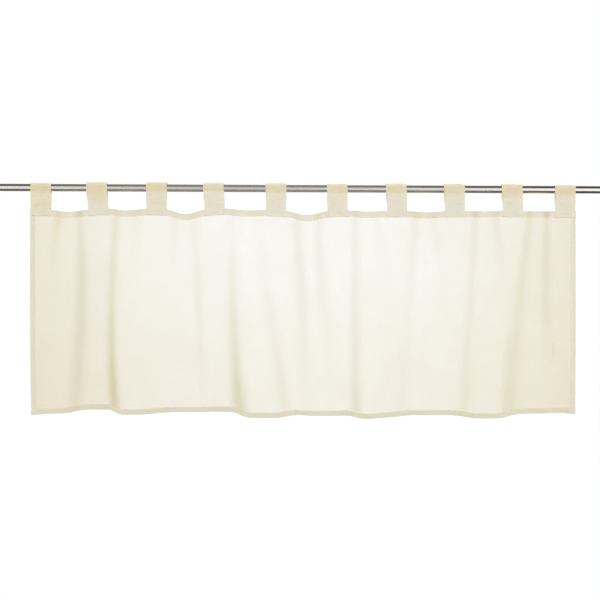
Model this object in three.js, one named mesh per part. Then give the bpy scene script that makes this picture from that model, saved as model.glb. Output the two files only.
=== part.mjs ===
// Cafe curtain with a tab top, hung on a straight rod.
// Sizes are in millimetres: X runs along the rod, the front faces -Y and +Z is up.
// The origin is the middle of the rod's axis.

import * as THREE from 'three';
import { mergeVertices } from 'three/addons/utils/BufferGeometryUtils.js';

// Rod
const ROD_DIAMETER = 19;
const ROD_LENGTH = 1600;
const ROD_SIDES = 48;

// Clear space between neighbouring pieces
const CLEARANCE = 0.3;

// Tabs: strips looped over the rod, one end sewn on in front of the heading and one behind it
const TAB_WIDTH = 53;
const TAB_THICKNESS = 1.6;
const TAB_ARC_STEPS = 24;

// How far the inner faces of a tab's legs lie in front of and behind the rod's axis at the heading,
// and how far above the panel the legs bend towards the rod
const FRONT_LEG = 2.1;
const BACK_LEG = 1;
const TAB_BEND_ABOVE_PANEL = 2;

// Panel
const PANEL_WIDTH = 1408;
const PANEL_THICKNESS = 1.1;
const HEM_THICKNESS = 2;
const HEADING_DEPTH = 17;
const HEM_DEPTH = 14;
const HEM_STEP = 2;

// Level of the bottom edge below the rod's axis, its rise from the left corner to the right one,
// and how much lower it hangs for each millimetre that a fold stands forward
const HEM_LEVEL = 585;
const HEM_RISE = 3;
const HEM_DIP = 0.17;

// How far the left edge stands forward at the heading, at half height and at the hem
const LEFT_EDGE = { heading: 0.5, middle: -4, hem: 8 };

// How far the left and right edges have drifted to the right at those levels
const LEFT_DRIFT = { heading: 0, middle: 0.3, hem: 4.9 };
const RIGHT_DRIFT = { heading: 0, middle: 2.3, hem: 2.9 };

// Shape of the sag between two tabs: higher is narrower
const SAG_POWER = 1.5;

// Mesh density of the panel
const COLUMNS_PER_TAB = 4;
const COLUMNS_PER_GAP = 10;
const ROWS = 13;

// Corner points closer than this are one point
const MERGE_DISTANCE = 0.0001;

// One row per tab: its place along the rod, how far its top leans sideways, how far below the rod's
// axis the panel's top edge is at its left and right edges, how far it sags before the next tab, and
// how far the loop stands up off the rod
const TABS = [
  { centre: -676, lean: 0, left: 55, right: 57, sag: 5, rise: 2 },
  { centre: -528, lean: -4, left: 56, right: 53, sag: 4, rise: 5 },
  { centre: -378, lean: 0, left: 53, right: 54, sag: 11, rise: 5 },
  { centre: -228, lean: -3, left: 55, right: 51, sag: 3, rise: 4 },
  { centre: -69, lean: -1, left: 54, right: 57, sag: 10, rise: 4 },
  { centre: 89, lean: -1, left: 57, right: 55, sag: 2, rise: 3 },
  { centre: 243, lean: -3, left: 56, right: 56, sag: 3, rise: 4 },
  { centre: 392, lean: -2, left: 56, right: 55, sag: 1, rise: 4 },
  { centre: 542, lean: -3, left: 54, right: 55, sag: 1, rise: 4 },
  { centre: 676, lean: 0, left: 55, right: 55, sag: 0, rise: 2 },
];

// One row per fold line, from left to right: where it runs at the heading, at half height and at
// the hem, how far the cloth steps forward across it at those levels, and how wide the step is at
// the heading and at the hem
const FOLDS = [
  {
    top: -630, middle: -660, hem: -690,
    stepTop: 20, stepMiddle: 0, stepHem: -20, narrow: 40, wide: 120,
  },
  {
    top: -575, middle: -575, hem: -595,
    stepTop: -20, stepMiddle: -35, stepHem: -40, narrow: 40, wide: 75,
  },
  {
    top: -480, middle: -495, hem: -490,
    stepTop: 20, stepMiddle: 25, stepHem: 50, narrow: 45, wide: 50,
  },
  {
    top: -430, middle: -430, hem: -385,
    stepTop: -20, stepMiddle: -5, stepHem: -25, narrow: 60, wide: 110,
  },
  {
    top: -330, middle: -335, hem: -330,
    stepTop: 15, stepMiddle: 0, stepHem: 0, narrow: 45, wide: 60,
  },
  {
    top: -280, middle: -270, hem: -260,
    stepTop: -15, stepMiddle: -15, stepHem: -5, narrow: 55, wide: 40,
  },
  {
    top: -180, middle: -180, hem: -165,
    stepTop: 10, stepMiddle: 25, stepHem: 60, narrow: 50, wide: 70,
  },
  {
    top: -120, middle: -85, hem: -45,
    stepTop: -10, stepMiddle: -20, stepHem: -30, narrow: 60, wide: 75,
  },
  {
    top: -15, middle: 0, hem: 5,
    stepTop: 15, stepMiddle: 25, stepHem: 10, narrow: 45, wide: 110,
  },
  {
    top: 40, middle: 55, hem: 80,
    stepTop: -15, stepMiddle: -20, stepHem: -5, narrow: 45, wide: 120,
  },
  {
    top: 135, middle: 135, hem: 135,
    stepTop: 15, stepMiddle: 20, stepHem: 35, narrow: 40, wide: 60,
  },
  {
    top: 185, middle: 220, hem: 190,
    stepTop: -15, stepMiddle: -10, stepHem: -20, narrow: 60, wide: 110,
  },
  {
    top: 290, middle: 270, hem: 250,
    stepTop: -15, stepMiddle: -10, stepHem: -20, narrow: 40, wide: 70,
  },
  {
    top: 340, middle: 360, hem: 355,
    stepTop: 15, stepMiddle: 10, stepHem: 0, narrow: 45, wide: 120,
  },
  {
    top: 445, middle: 430, hem: 415,
    stepTop: 15, stepMiddle: 20, stepHem: 30, narrow: 35, wide: 70,
  },
  {
    top: 495, middle: 520, hem: 520,
    stepTop: -15, stepMiddle: -5, stepHem: -15, narrow: 40, wide: 55,
  },
  {
    top: 585, middle: 555, hem: 540,
    stepTop: -15, stepMiddle: -25, stepHem: -35, narrow: 35, wide: 105,
  },
  {
    top: 630, middle: 630, hem: 640,
    stepTop: 15, stepMiddle: 20, stepHem: -5, narrow: 30, wide: 70,
  },
  {
    top: 665, middle: 690, hem: 690,
    stepTop: 0, stepMiddle: -5, stepHem: 10, narrow: 30, wide: 60,
  },
];

const CLOTH = new THREE.MeshStandardMaterial({ color: 0xf1ecdc, roughness: 0.9, metalness: 0 });
const TAB_CLOTH = new THREE.MeshStandardMaterial({ color: 0xe4dcc6, roughness: 0.9, metalness: 0 });
const STEEL = new THREE.MeshStandardMaterial({ color: 0xb4b0a6, roughness: 0.3, metalness: 1 });

// A smooth curve through three values, at 0, 0.5 and 1 of the way down the panel.
function through(first, second, third, down) {
  return (
    first * (1 - down) * (1 - 2 * down) +
    second * 4 * down * (1 - down) +
    third * down * (2 * down - 1)
  );
}

// A step from 0 to 1 in two parabolas, steepest at its middle.
function foldStep(share) {
  const held = THREE.MathUtils.clamp(share, 0, 1);
  return held < 0.5 ? 2 * held ** 2 : 1 - 2 * (1 - held) ** 2;
}

// How far the cloth stands forward at a place across the panel and a share of the way down.
function forward(across, down) {
  let sum = through(LEFT_EDGE.heading, LEFT_EDGE.middle, LEFT_EDGE.hem, down);
  for (const fold of FOLDS) {
    const line = through(fold.top, fold.middle, fold.hem, down);
    const width = THREE.MathUtils.lerp(fold.narrow, fold.wide, down);
    const step = through(fold.stepTop, fold.stepMiddle, fold.stepHem, down);
    sum += step * foldStep((across - line) / width + 0.5);
  }
  return sum;
}

// Level of the panel's top edge: straight behind each tab, sagging between two tabs.
function topLevel(across) {
  for (let i = 0; i < TABS.length; i += 1) {
    const tab = TABS[i];
    const next = TABS[i + 1];
    const gapStart = tab.centre + TAB_WIDTH / 2;
    if (across <= gapStart || !next) {
      const share = THREE.MathUtils.clamp((across - tab.centre) / TAB_WIDTH + 0.5, 0, 1);
      return -THREE.MathUtils.lerp(tab.left, tab.right, share);
    }
    const gapEnd = next.centre - TAB_WIDTH / 2;
    if (across < gapEnd) {
      const share = (across - gapStart) / (gapEnd - gapStart);
      const sag = tab.sag * Math.sin(Math.PI * share) ** SAG_POWER;
      return -THREE.MathUtils.lerp(tab.right, next.left, share) - sag;
    }
  }
  return 0;
}

// Level of the panel's bottom edge.
function hemLevel(across) {
  return -HEM_LEVEL + (HEM_RISE * across) / PANEL_WIDTH - HEM_DIP * forward(across, 1);
}

// Mid-surface of the panel, whose heading hangs between the tabs' legs.
function panelPoint(across, row) {
  const upper = topLevel(across) - row.belowTop;
  const lower = hemLevel(across) + row.aboveHem;
  const leftDrift = through(LEFT_DRIFT.heading, LEFT_DRIFT.middle, LEFT_DRIFT.hem, row.down);
  const rightDrift = through(RIGHT_DRIFT.heading, RIGHT_DRIFT.middle, RIGHT_DRIFT.hem, row.down);
  return new THREE.Vector3(
    across + THREE.MathUtils.lerp(leftDrift, rightDrift, across / PANEL_WIDTH + 0.5),
    -forward(across, row.down),
    THREE.MathUtils.lerp(upper, lower, row.down),
  );
}

// Unit normal of the mid-surface, towards the back.
function panelNormal(across, row) {
  const reach = 1;
  const slope = (forward(across + reach, row.down) - forward(across - reach, row.down)) / (2 * reach);
  return new THREE.Vector3(slope, 1, 0).normalize();
}

// Places across the panel: even steps over each tab and each gap, and the side hems' inner edges.
function panelColumns() {
  const places = [];
  const spread = (start, end, count) => {
    for (let i = 0; i < count; i += 1) {
      places.push(start + ((end - start) * i) / count);
    }
  };
  const edge = PANEL_WIDTH / 2;
  const inner = edge - HEM_DEPTH - HEM_STEP;
  TABS.forEach((tab, i) => {
    const tabStart = i === 0 ? -inner : tab.centre - TAB_WIDTH / 2;
    const tabEnd = i === TABS.length - 1 ? inner : tab.centre + TAB_WIDTH / 2;
    spread(tabStart, tabEnd, COLUMNS_PER_TAB);
    if (i < TABS.length - 1) {
      spread(tabEnd, TABS[i + 1].centre - TAB_WIDTH / 2, COLUMNS_PER_GAP);
    }
  });
  return [-edge, -edge + HEM_DEPTH, ...places, inner, edge - HEM_DEPTH, edge];
}

// Rows down the panel: the heading, even steps, and the bottom hem.
function panelRows() {
  const belowTop = HEADING_DEPTH + HEM_STEP;
  const aboveHem = HEM_DEPTH + HEM_STEP;
  const heading = [0, HEADING_DEPTH].map((depth) => ({ down: 0, belowTop: depth, aboveHem, hemmed: true }));
  const hem = [HEM_DEPTH, 0].map((depth) => ({ down: 1, belowTop, aboveHem: depth, hemmed: true }));
  const body = [];
  for (let i = 0; i <= ROWS; i += 1) {
    body.push({ down: i / ROWS, belowTop, aboveHem, hemmed: false });
  }
  return [...heading, ...body, ...hem];
}

// One closed surface from a geometry whose faces don't share their corner points yet.
function closed(geometry) {
  geometry.deleteAttribute('normal');
  geometry.deleteAttribute('uv');
  const merged = mergeVertices(geometry, MERGE_DISTANCE);
  merged.computeVertexNormals();
  return merged;
}

// The hung panel: a box of one layer, its points moved to both faces of the folded sheet.
function panelGeometry() {
  const columns = panelColumns();
  const rows = panelRows();
  const across = columns.length - 1;
  const down = rows.length - 1;
  const geometry = new THREE.BoxGeometry(1, 1, 1, across, 1, down);
  const position = geometry.attributes.position;
  for (let i = 0; i < position.count; i += 1) {
    const place = columns[Math.round((position.getX(i) + 0.5) * across)];
    const row = rows[Math.round((0.5 - position.getZ(i)) * down)];
    const hemmed = row.hemmed || Math.abs(place) >= PANEL_WIDTH / 2 - HEM_DEPTH;
    const half = (hemmed ? HEM_THICKNESS : PANEL_THICKNESS) / 2;
    const point = panelPoint(place, row);
    point.addScaledVector(panelNormal(place, row), half * Math.sign(position.getY(i)));
    position.setXYZ(i, point.x, point.y, point.z);
  }
  return closed(geometry);
}

// Angle at which a line from a point below the rod touches a circle round the rod's axis.
function touchAngle(side, offset, level, radius) {
  const reach = Math.acos(radius / Math.hypot(offset, level));
  return Math.atan2(level, side * offset) + side * reach;
}

// Points of an arc round the rod's axis, which stands up off the rod by the rise at its top.
function raisedArc(radius, start, end, rise) {
  const points = [];
  for (let i = 0; i <= TAB_ARC_STEPS; i += 1) {
    const angle = THREE.MathUtils.lerp(start, end, i / TAB_ARC_STEPS);
    const reach = radius + rise * Math.max(0, Math.sin(angle)) ** 2;
    points.push(new THREE.Vector2(reach * Math.cos(angle), reach * Math.sin(angle)));
  }
  return points;
}

// One face of a tab's strip: up the back leg, round the rod and down the front leg.
function tabFace(radius, depth, drop, rise) {
  const bend = -drop + TAB_BEND_ABOVE_PANEL;
  const end = -drop - HEADING_DEPTH;
  const back = BACK_LEG + depth;
  const front = FRONT_LEG + depth;
  const arcStart = touchAngle(1, back, bend, radius);
  const arcEnd = touchAngle(-1, front, bend, radius) + 2 * Math.PI;
  return [
    new THREE.Vector2(back, end),
    new THREE.Vector2(back, bend),
    ...raisedArc(radius, arcStart, arcEnd, rise),
    new THREE.Vector2(-front, bend),
    new THREE.Vector2(-front, end),
  ];
}

// Section of a tab across the rod: a loop with one leg in front of the heading and one behind it.
function tabSection(drop, rise) {
  const inner = ROD_DIAMETER / 2 + CLEARANCE;
  const outside = tabFace(inner + TAB_THICKNESS, TAB_THICKNESS, drop, rise);
  const inside = tabFace(inner, 0, drop, rise);
  return new THREE.Shape([...outside, ...inside.reverse()]);
}

// A tab along the rod, sheared so that its top leans sideways and its sewn ends slant with the panel.
function tabGeometry(tab) {
  const drop = (tab.left + tab.right) / 2;
  const geometry = new THREE.ExtrudeGeometry(tabSection(drop, tab.rise), {
    depth: TAB_WIDTH,
    steps: 1,
    bevelEnabled: false,
  });
  geometry.translate(0, 0, -TAB_WIDTH / 2);
  const turn = new THREE.Matrix4().makeBasis(
    new THREE.Vector3(0, 1, 0),
    new THREE.Vector3(0, 0, 1),
    new THREE.Vector3(1, 0, 0),
  );
  geometry.applyMatrix4(turn);
  const position = geometry.attributes.position;
  for (let i = 0; i < position.count; i += 1) {
    const height = Math.max(0, position.getZ(i) + drop) / drop;
    const slant = ((tab.left - tab.right) * position.getX(i)) / TAB_WIDTH;
    position.setZ(i, position.getZ(i) + slant * Math.max(0, 1 - height));
    position.setX(i, position.getX(i) + tab.lean * height);
  }
  return closed(geometry);
}

function named(name, geometry, material) {
  const mesh = new THREE.Mesh(geometry, material);
  mesh.name = name;
  return mesh;
}

const curtain = new THREE.Group();
curtain.name = 'curtain_on_rod';

const rod = named(
  'rod',
  new THREE.CylinderGeometry(ROD_DIAMETER / 2, ROD_DIAMETER / 2, ROD_LENGTH, ROD_SIDES),
  STEEL,
);
rod.rotation.z = Math.PI / 2;
curtain.add(rod);

curtain.add(named('panel', panelGeometry(), CLOTH));

TABS.forEach((tab, i) => {
  const mesh = named(`tab_${String(i + 1).padStart(2, '0')}`, tabGeometry(tab), TAB_CLOTH);
  mesh.position.x = tab.centre;
  curtain.add(mesh);
});

export default curtain;
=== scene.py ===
"""Looks of a tab-top cafe curtain on its rod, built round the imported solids.

Lengths are in metres: X runs along the rod, the front faces -Y and +Z is up.
The cloth hangs on the same folds as its solid, from the same tables.
"""

import math

import bpy
import numpy as np
from bpy.props import FloatProperty, FloatVectorProperty, IntProperty, PointerProperty
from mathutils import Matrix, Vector


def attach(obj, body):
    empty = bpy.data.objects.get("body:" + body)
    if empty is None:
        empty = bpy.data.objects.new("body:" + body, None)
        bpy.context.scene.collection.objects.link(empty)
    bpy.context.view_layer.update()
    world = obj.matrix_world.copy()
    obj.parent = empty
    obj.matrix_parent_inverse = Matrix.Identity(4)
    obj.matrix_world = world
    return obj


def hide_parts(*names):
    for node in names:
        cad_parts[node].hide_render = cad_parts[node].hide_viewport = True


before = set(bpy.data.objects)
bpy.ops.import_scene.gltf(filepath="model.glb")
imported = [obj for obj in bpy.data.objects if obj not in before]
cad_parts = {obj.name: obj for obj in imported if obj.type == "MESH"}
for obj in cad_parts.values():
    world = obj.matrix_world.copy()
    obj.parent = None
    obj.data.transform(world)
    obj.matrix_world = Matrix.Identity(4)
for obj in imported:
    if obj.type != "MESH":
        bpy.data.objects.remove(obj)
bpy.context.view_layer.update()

bl_info = {
    "name": "Tab-top cafe curtain",
    "version": (1, 0, 0),
    "blender": (4, 5, 0),
    "location": "3D View > Sidebar > Curtain",
    "description": "Dresses a hung tab-top curtain and its rod in cloth, stitching and steel",
    "category": "Add Mesh",
}

MM = 0.001
CUT_CLOTH = "cut_cloth"
TONE = "tone"

# Tones of the panel's turned edges: 0 is the colour of single cloth, 1 of a hem and 2 of the palest
# hem. The left hem is a little darker and the right one and the corners lighter, as painted light and
# shade; the bottom hem leans a little towards the single cloth's colour.
LEFT_TONE = 0.9
RIGHT_TONE = 1.3
HEADING_TONE = 1.0
HEM_TONE = 0.83
CORNER_TONE = 1.1

# Painted shade: how much tone the heading and the hem lose where a fold crosses them, for a slope of 1
# squared.
HEADING_PAINTED_SHADE = 0.5
HEM_PAINTED_SHADE = 0.09


def in_metres(names, rows):
    """A table in millimetres, as one array in metres for each named column."""
    return dict(zip(names.split(), np.array(rows, float).T * MM))


# Each tab: its place along the rod, how far its top leans sideways, how far below the rod's axis
# the panel's top edge is at its left and right edges, how far the edge sags before the next tab,
# and how far the loop stands up off the rod.
TABS = in_metres("centre lean left right sag rise", [
    (-676, 0, 55, 57, 5, 2),
    (-528, -4, 56, 53, 4, 5),
    (-378, 0, 53, 54, 11, 5),
    (-228, -3, 55, 51, 3, 4),
    (-69, -1, 54, 57, 10, 4),
    (89, -1, 57, 55, 2, 3),
    (243, -3, 56, 56, 3, 4),
    (392, -2, 56, 55, 1, 4),
    (542, -3, 54, 55, 1, 4),
    (676, 0, 55, 55, 0, 2),
])

# How much darker than the others each tab's cloth is, as a share of the step to the next shade; the
# shades past the tab's own are painted shade of the rod.
TAB_SHADES = (0.5, 0.1, 0.2, 0, 0, 0, 0, 0, 0, 0.15)

# Painted shade of the rod on the tabs, where it keeps light from shining through them: how far
# above the rod's lowest line the tabs' darker cloth starts to fade, and how long each one's fade is.
ROD_SHADE_EDGE = 3 * MM
ROD_SHADE_FADES = np.array([8, 40, 6, 3, 8, 8, 8, 15, 22, 16]) * MM

# Each fold line: where it runs at the heading, at half height and at the hem, how far the cloth
# steps forward across it at those levels, and how wide the step is at the heading and at the hem.
FOLDS = in_metres("top middle hem step_top step_middle step_hem narrow wide", [
    (-630, -660, -690, 20, 0, -20, 40, 120),
    (-575, -575, -595, -20, -35, -40, 40, 75),
    (-480, -495, -490, 20, 25, 50, 45, 50),
    (-430, -430, -385, -20, -5, -25, 60, 110),
    (-330, -335, -330, 15, 0, 0, 45, 60),
    (-280, -270, -260, -15, -15, -5, 55, 40),
    (-180, -180, -165, 10, 25, 60, 50, 70),
    (-120, -85, -45, -10, -20, -30, 60, 75),
    (-15, 0, 5, 15, 25, 10, 45, 110),
    (40, 55, 80, -15, -20, -5, 45, 120),
    (135, 135, 135, 15, 20, 35, 40, 60),
    (185, 220, 190, -15, -10, -20, 60, 110),
    (290, 270, 250, -15, -10, -20, 40, 70),
    (340, 360, 355, 15, 10, 0, 45, 120),
    (445, 430, 415, 15, 20, 30, 35, 70),
    (495, 520, 520, -15, -5, -15, 40, 55),
    (585, 555, 540, -15, -25, -35, 35, 105),
    (630, 630, 640, 15, 20, -5, 30, 70),
    (665, 690, 690, 0, -5, 10, 30, 60),
])

# The left edge's stand-off at the heading, at half height and at the hem.
LEFT_EDGE = (0.5 * MM, -4 * MM, 8 * MM)

# How far the left and right edges have drifted to the right at those levels.
LEFT_DRIFT = (0, 0.3 * MM, 4.9 * MM)
RIGHT_DRIFT = (0, 2.3 * MM, 2.9 * MM)

# Bottom edge: level below the rod, rise from the left corner to the right one, and the dip for
# each unit that a fold stands forward.
HEM_LEVEL = 585 * MM
HEM_RISE = 3 * MM
HEM_DIP = 0.17

# Short crease near the right edge: its place across and down, half its length, how wide its steep
# left flank and its gentle right one are, its height and how far it leans for each unit down.
CREASE_ACROSS = 649 * MM
CREASE_FALL = 366 * MM
CREASE_HALF_LENGTH = 27 * MM
CREASE_STEEP = 3 * MM
CREASE_GENTLE = 14 * MM
CREASE_HEIGHT = 6 * MM
CREASE_LEAN = -0.13

# Power of the sine by which the top edge sags between two tabs.
SAG_POWER = 1.5

# Length of the step from a hem to single cloth, and of the single cloth from heading to bottom hem.
HEM_STEP = 2 * MM
BODY_LENGTH = 495 * MM

# Small waves: the phase from one seed and from one wave to the next, how far a phase drifts, over how
# many pitches, and the drift's own phase.
SEED_PHASE = 2.1
WAVE_PHASE = 1.7
PHASE_DRIFT = 0.9
DRIFT_PITCHES = 7.3
DRIFT_PHASE = 2.3

# Puckers along the heading, the bottom hem and the side hems: their height, how far from the sewing
# they fade, and the pitches of their waves.
PUCKERS = (
    (0.12 * MM, 10 * MM, (17.1 * MM, 26.3 * MM, 41.7 * MM)),
    (0.15 * MM, 12 * MM, (18.7 * MM, 29.1 * MM, 47.3 * MM)),
    (0.06 * MM, 10 * MM, (22.3 * MM, 34.1 * MM)),
)

# A turned hem's mesh: stations across each layer, how many layer pitches a bend reaches in, and how
# far in the raw edge lies, as a share of the hem's depth.
LAYER_STATIONS = 4
BEND_REACH = 1.5
RAW_EDGE = 0.1

# How far the panel's face lies ahead of the folds' mid-surface, and how far in from a side hem its
# stack thins out in the heading and in the bottom hem.
FACE_AHEAD = 0.6 * MM
STACK_FADE = 4 * MM

# A tab's loop: how far it stands off the rod all round, how far behind the rod's axis its front and
# back legs hang, how far above the panel's top edge they bend towards the rod, and how much of each
# end keeps its level when the corners are rounded.
LOOP_CLEARANCE = 0.8 * MM
FRONT_LEG = -1.8 * MM
BACK_LEG = 1 * MM
LEG_RISE = 2 * MM
SQUARE_END = 10 * MM

# Stations of a loop's arc and of its whole path, and how many of them the rounding averages.
ARC_STATIONS = 80
PATH_STATIONS = 700
ROUNDING_WINDOW = 25

# A tab's rumples and sway: how much of each end is held flat, over what length they grow, their size
# and pitches, how the rumples slant, how far the sway of the two edges is apart, and their seeds.
HELD_END = 18 * MM
FREE_GROWTH = 20 * MM
RUMPLE_HEIGHT = 0.35 * MM
RUMPLE_PITCHES = (11.3 * MM, 18.9 * MM, 30.1 * MM)
RUMPLE_SLANT = 0.3
RUMPLE_SEED = 5
SWAY_WIDTH = 0.4 * MM
SWAY_PITCHES = (31 * MM, 53 * MM)
SWAY_SHIFT = 13 * MM
SWAY_SEED = 9

# A tab's mesh: how far from its middle line the turned-in edges stop, stations across each of them
# and across the face, and stations along the strip.
RAW_GAP = 0.4 * MM
TURNED_STATIONS = 8
FACE_STATIONS = 18
STRIP_STATIONS = 72

# A stitch: stations along it, sides of its thread, and at shares of its length its rise in thread
# widths and its thickness as a share of the thread's.
STITCH_STATIONS = 4
THREAD_SIDES = 6
STITCH_SHARES = (0, 0.3, 0.7, 1)
STITCH_RISE = (-0.45, 0.3, 0.3, -0.45)
STITCH_GIRTH = (0.6, 1, 1, 0.6)

# Lines of stitches: how far they stop from the cloth's edge, how far below the heading's top edge the
# upper one runs, how far from a hem's inner edge, and how far from a tab's ends.
LINE_END = 1 * MM
TOP_LINE = 2.2 * MM
HEM_LINE = 1.4 * MM
TAB_END_LINES = (1 * MM, 13.9 * MM)

# The rod's mesh: rings along it, the rings of its ends as shares of its radius, how far its chamfer's
# middle is below the rod's surface and how far in the first full ring is, as shares of the chamfer.
ROD_STATIONS = 34
CAP_CENTRE = 0.02
CAP_RING = 0.6
CHAMFER_DROP = 0.16
FULL_RING = 4


class CurtainSizes(bpy.types.PropertyGroup):
    """Sizes that a maker would change."""

    rod_length: FloatProperty(
        name="Rod length", description="Length of the rod", default=1.6, unit="LENGTH")
    rod_diameter: FloatProperty(
        name="Rod diameter", description="Thickness of the rod", default=0.019, unit="LENGTH")
    rod_chamfer: FloatProperty(
        name="Rod chamfer", description="Broken edge at the rod's ends", default=0.0008, unit="LENGTH")
    panel_width: FloatProperty(
        name="Panel width", description="Width of the panel as it hangs", default=1.408, unit="LENGTH")
    heading_depth: FloatProperty(
        name="Heading depth", description="Depth of the turned top edge", default=0.017, unit="LENGTH")
    hem_depth: FloatProperty(
        name="Hem depth", description="Depth of the side and bottom hems", default=0.014, unit="LENGTH")
    cut_width: FloatProperty(
        name="Cut width", description="Width of the panel's cloth before it is hemmed",
        default=1.55, unit="LENGTH")
    cut_length: FloatProperty(
        name="Cut length", description="Length of the panel's cloth before it is hemmed",
        default=0.59, unit="LENGTH")
    cloth_thickness: FloatProperty(
        name="Cloth thickness", description="Thickness of one layer of cloth",
        default=0.00012, precision=5, unit="LENGTH")
    layer_pitch: FloatProperty(
        name="Layer pitch", description="Distance between layers that are sewn together",
        default=0.00022, precision=5, unit="LENGTH")
    tab_width: FloatProperty(
        name="Tab width", description="Width of a finished tab", default=0.053, unit="LENGTH")
    tab_topstitch: FloatProperty(
        name="Tab topstitch", description="Distance of a tab's topstitching from its edge",
        default=0.0075, unit="LENGTH")
    stitch_length: FloatProperty(
        name="Stitch length", description="Length of thread that shows in one stitch",
        default=0.0022, unit="LENGTH")
    stitch_pitch: FloatProperty(
        name="Stitch pitch", description="Distance from one stitch to the next",
        default=0.0028, unit="LENGTH")
    thread_diameter: FloatProperty(
        name="Thread diameter", description="Thickness of the sewing thread",
        default=0.0003, precision=5, unit="LENGTH")
    weave_pitch: FloatProperty(
        name="Weave pitch", description="Distance between two threads of the cloth",
        default=0.00058, precision=5, unit="LENGTH")
    rod_sides: IntProperty(
        name="Rod sides", description="Faces round the rod", default=96, min=24)
    panel_columns: IntProperty(
        name="Panel columns", description="Columns of the panel's mesh between the side hems",
        default=480, min=64)
    panel_rows: IntProperty(
        name="Panel rows", description="Rows of the panel's mesh between heading and hem",
        default=62, min=16)


class CurtainColours(bpy.types.PropertyGroup):
    """Colours and shares of the finishes."""

    cloth: FloatVectorProperty(
        name="Cloth", description="Cream of the panel's threads", subtype="COLOR",
        default=(0.69, 0.615, 0.385))
    # Painted light: the doubled cloth's own cream, painted lighter than the single cloth for light that
    # shines through the stacked layers.
    hem: FloatVectorProperty(
        name="Hem", description="Cream of the panel where it is turned and doubled", subtype="COLOR",
        default=(0.933, 0.898, 0.78))
    # Painted light: the lighter cream that the right hem and the corners lean towards.
    painted_light_hem: FloatVectorProperty(
        name="Palest hem", description="Cream that the palest of the panel's hems lean towards",
        subtype="COLOR", default=(0.93, 0.905, 0.835))
    # Painted light: the doubled cloth's own cream, painted lighter than the single cloth for light that
    # shines through the tab's layers.
    tab: FloatVectorProperty(
        name="Tab", description="Cream of the tabs", subtype="COLOR",
        default=(0.915, 0.88, 0.768))
    # Painted shade where the rod stands behind the tab and keeps light from shining through it.
    tab_rod_shade: FloatVectorProperty(
        name="Tab on the rod", description="Cream of the tabs where they bear on the rod",
        subtype="COLOR", default=(0.877, 0.808, 0.604))
    # Deeper painted shade of the rod, for the darker tabs.
    darker_tab_rod_shade: FloatVectorProperty(
        name="Darker tab in rod shade", description="Cream of a darker tab where it bears on the rod",
        subtype="COLOR", default=(0.83, 0.72, 0.46))
    thread: FloatVectorProperty(
        name="Thread", description="Cream of the sewing thread", subtype="COLOR",
        default=(0.89, 0.84, 0.71))
    steel: FloatVectorProperty(
        name="Steel", description="Colour of the rod's steel", subtype="COLOR",
        default=(0.72, 0.70, 0.66))
    floor: FloatVectorProperty(
        name="Floor", description="Colour of the floor", subtype="COLOR",
        default=(0.88, 0.87, 0.85))
    panel_cover: FloatProperty(
        name="Panel cover", description="Share of the view that one layer of the panel hides",
        default=0.62, subtype="FACTOR", min=0, max=1)
    hem_cover: FloatProperty(
        name="Hem cover", description="Share of the view that one layer of a hem hides",
        default=0.75, subtype="FACTOR", min=0, max=1)
    tab_cover: FloatProperty(
        name="Tab cover", description="Share of the view that one layer of a tab hides",
        default=0.84, subtype="FACTOR", min=0, max=1)


# Shape of the hung cloth

def through(first, second, third, down):
    """A parabola through three values, at 0, 0.5 and 1 of the way down."""
    return (first * (1 - down) * (1 - 2 * down) + second * 4 * down * (1 - down)
            + third * down * (2 * down - 1))


def ease(share):
    """3t^2 - 2t^3 for t held between 0 and 1."""
    held = np.clip(share, 0, 1)
    return held * held * (3 - 2 * held)


def fold_step(share):
    """From 0 to 1 in two parabolas, 2t^2 and 1 - 2(1 - t)^2, so steepest at its middle."""
    held = np.clip(share, 0, 1)
    return np.where(held < 0.5, 2 * held**2, 1 - 2 * (1 - held)**2)


def wander(place, pitches, seed):
    """Sum of sines of the given pitches, each with its own drifting phase, divided by their count."""
    total = 0
    for order, pitch in enumerate(pitches):
        phase = SEED_PHASE * seed + WAVE_PHASE * order
        drift = PHASE_DRIFT * np.sin(place / (DRIFT_PITCHES * pitch) + DRIFT_PHASE * phase)
        total = total + np.sin(2 * np.pi * place / pitch + phase + drift)
    return total / len(pitches)


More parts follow.
